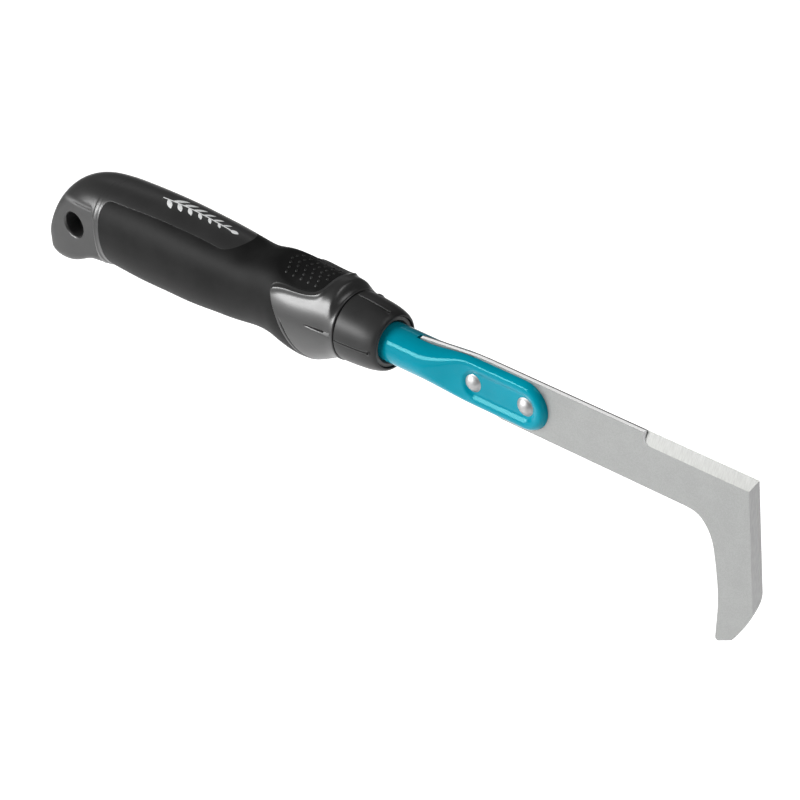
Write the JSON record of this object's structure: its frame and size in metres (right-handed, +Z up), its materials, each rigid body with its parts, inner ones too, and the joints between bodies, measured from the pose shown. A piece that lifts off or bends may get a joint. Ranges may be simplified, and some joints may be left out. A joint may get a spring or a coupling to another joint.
{
  "type": "paving crack weeder",
  "caption": "Hand crack weeder: flat steel hook blade riveted in a painted tube stem that a twist collar clamps into a soft-grip handle with a hanging hole.",
  "frame": {"origin": "centre of the hanging hole in the butt of the handle", "axes": "+X along the tool towards the blade, +Z up away from the hook, Y across the blade"},
  "size_m": [0.3674, 0.0342, 0.0826],
  "materials": {
    "grip_rubber": "soft-touch matte",
    "handle_plastic": "satin moulded",
    "collar_plastic": "satin moulded",
    "collet_plastic": "satin moulded",
    "insert_plastic": "plain moulded",
    "stem_paint": "gloss powder coat",
    "blade_steel": "bead-blasted faces, ground bevels",
    "rivet_steel": "bright zinc",
    "pin_steel": "plain"
  },
  "bodies": {
    "handle": {"handle_core": "handle_plastic", "soft_grip": "grip_rubber", "socket_insert": "insert_plastic"},
    "collet": {"clamp_collet": "collet_plastic"},
    "collar": {"lock_collar": "collar_plastic"},
    "head": {"stem_tube": "stem_paint", "stem_plug": "insert_plastic", "plug_pin": "pin_steel", "blade": "blade_steel", "rivet_rear": "rivet_steel", "rivet_front": "rivet_steel"}
  },
  "joints": [
    {"name": "collet_travel", "type": "slide", "parent": "handle", "child": "collet", "axis": [1, 0, 0], "range_m": [0, 0.0015]},
    {"name": "collar_turn", "type": "hinge", "parent": "collet", "child": "collar", "pos_m": [0.1655, 0, 0.007], "axis": [1, 0, 0], "range_deg": [0, 90]},
    {"name": "head_pull", "type": "slide", "parent": "handle", "child": "head", "axis": [1, 0, 0], "range_m": [0, 0.08]}
  ],
  "couplings": [
    {"joint": "collet_travel", "follows": "collar_turn", "m_per_rad": 0.000954}
  ]
}
